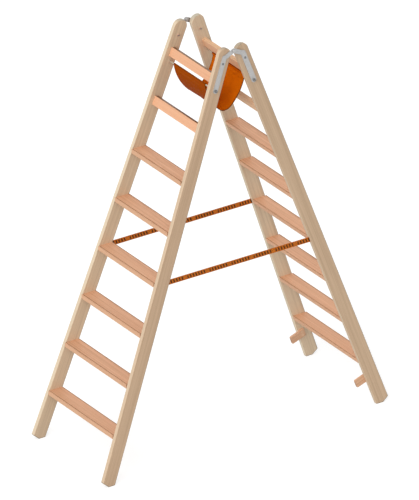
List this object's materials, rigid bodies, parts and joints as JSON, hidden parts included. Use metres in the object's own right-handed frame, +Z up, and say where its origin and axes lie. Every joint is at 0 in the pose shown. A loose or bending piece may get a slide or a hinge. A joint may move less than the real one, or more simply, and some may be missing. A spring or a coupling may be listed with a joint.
{
  "type": "wooden double-sided stepladder",
  "caption": "Folding wooden stepladder with two climbing frames, steel hinges at the top, webbing straps that limit the opening, and a fabric sling for tools between the frames.",
  "frame": {"origin": "on the floor, midway between the four feet of the opened ladder", "axes": "+Z up, +Y from the front frame to the rear frame, +X to the right, along the hinge axis"},
  "size_m": [0.6514, 1.7136, 2.167],
  "materials": {
    "stile_wood": "planed, satin",
    "step_wood": "planed, satin",
    "zinc_steel": "zinc plated",
    "webbing": "woven webbing",
    "sling_fabric": "coated fabric"
  },
  "bodies": {
    "front_frame": {"front_stile_left": "stile_wood", "front_stile_right": "stile_wood", "front_tread_1": "step_wood", "front_tread_2": "step_wood", "front_tread_3": "step_wood", "front_tread_4": "step_wood", "front_tread_5": "step_wood", "front_tread_6": "step_wood", "front_rung_7": "step_wood", "front_rung_8": "step_wood", "front_hinge_leaf_left": "zinc_steel", "front_hinge_leaf_right": "zinc_steel", "front_hinge_bolts": "zinc_steel", "front_hinge_washers": "zinc_steel", "front_hinge_nuts": "zinc_steel", "front_tie_rod": "zinc_steel", "front_tie_rod_nuts": "zinc_steel", "front_strap_pins": "zinc_steel", "hinge_pin_left": "zinc_steel", "hinge_pin_right": "zinc_steel", "spreader_strap_left": "webbing", "spreader_strap_right": "webbing", "tool_sling": "sling_fabric"},
    "rear_frame": {"rear_stile_left": "stile_wood", "rear_stile_right": "stile_wood", "rear_tread_1": "step_wood", "rear_tread_2": "step_wood", "rear_tread_3": "step_wood", "rear_tread_4": "step_wood", "rear_tread_5": "step_wood", "rear_tread_6": "step_wood", "rear_rung_7": "step_wood", "rear_rung_8": "step_wood", "rear_hinge_leaf_left": "zinc_steel", "rear_hinge_leaf_right": "zinc_steel", "rear_hinge_bolts": "zinc_steel", "rear_hinge_washers": "zinc_steel", "rear_hinge_nuts": "zinc_steel", "rear_tie_rod": "zinc_steel", "rear_tie_rod_nuts": "zinc_steel", "rear_strap_pins": "zinc_steel", "guide_block_left": "step_wood", "guide_block_right": "step_wood", "guide_block_screws": "zinc_steel"}
  },
  "joints": [
    {"name": "frame_fold", "type": "hinge", "parent": "front_frame", "child": "rear_frame", "pos_m": [0, 0, 2.1455], "axis": [-1, 0, 0], "range_deg": [0, 40], "deforming": ["spreader_strap_left", "spreader_strap_right", "tool_sling"]}
  ]
}
